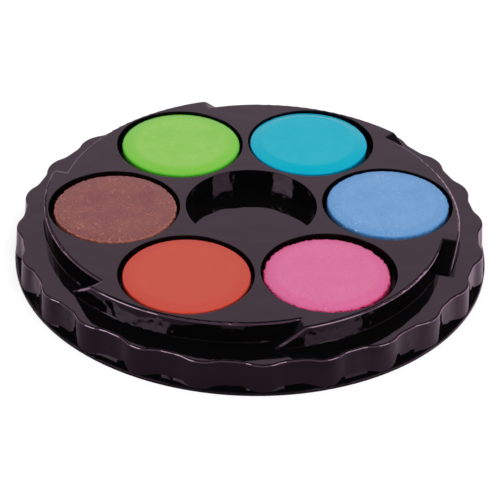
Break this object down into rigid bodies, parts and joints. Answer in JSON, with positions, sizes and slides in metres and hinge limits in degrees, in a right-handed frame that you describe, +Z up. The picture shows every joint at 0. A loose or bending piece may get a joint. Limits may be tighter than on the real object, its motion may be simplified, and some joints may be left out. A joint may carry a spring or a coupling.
{
  "type": "watercolour palette disc",
  "caption": "Round black stacking palette disc: scalloped grip edge, cam-locking neck, an open mixing well in the middle and a ring of pressed paint cakes lying loose in round wells.",
  "frame": {"origin": "middle of the base ring's flat underside, on the disc's axis", "axes": "+Z up, the way the wells open; +X through the middle of the sky blue cake; the picture looks along +Y from slightly to the left"},
  "size_m": [0.1146, 0.1146, 0.0139],
  "materials": {
    "tray_plastic": "gloss",
    "paint_sky_blue": "matte",
    "paint_turquoise": "matte",
    "paint_green": "matte",
    "paint_brown": "matte",
    "paint_red": "matte",
    "paint_pink": "matte"
  },
  "bodies": {
    "tray": {"palette_tray": "tray_plastic"},
    "cake_sky_blue": {"paint_cake_sky_blue": "paint_sky_blue"},
    "cake_turquoise": {"paint_cake_turquoise": "paint_turquoise"},
    "cake_green": {"paint_cake_green": "paint_green"},
    "cake_brown": {"paint_cake_brown": "paint_brown"},
    "cake_red": {"paint_cake_red": "paint_red"},
    "cake_pink": {"paint_cake_pink": "paint_pink"}
  },
  "joints": [
    {"name": "lift_sky_blue", "type": "slide", "parent": "tray", "child": "cake_sky_blue", "axis": [0, 0, 1], "range_m": [0, 0.015]},
    {"name": "lift_turquoise", "type": "slide", "parent": "tray", "child": "cake_turquoise", "axis": [0, 0, 1], "range_m": [0, 0.015]},
    {"name": "lift_green", "type": "slide", "parent": "tray", "child": "cake_green", "axis": [0, 0, 1], "range_m": [0, 0.015]},
    {"name": "lift_brown", "type": "slide", "parent": "tray", "child": "cake_brown", "axis": [0, 0, 1], "range_m": [0, 0.015]},
    {"name": "lift_red", "type": "slide", "parent": "tray", "child": "cake_red", "axis": [0, 0, 1], "range_m": [0, 0.015]},
    {"name": "lift_pink", "type": "slide", "parent": "tray", "child": "cake_pink", "axis": [0, 0, 1], "range_m": [0, 0.015]}
  ]
}
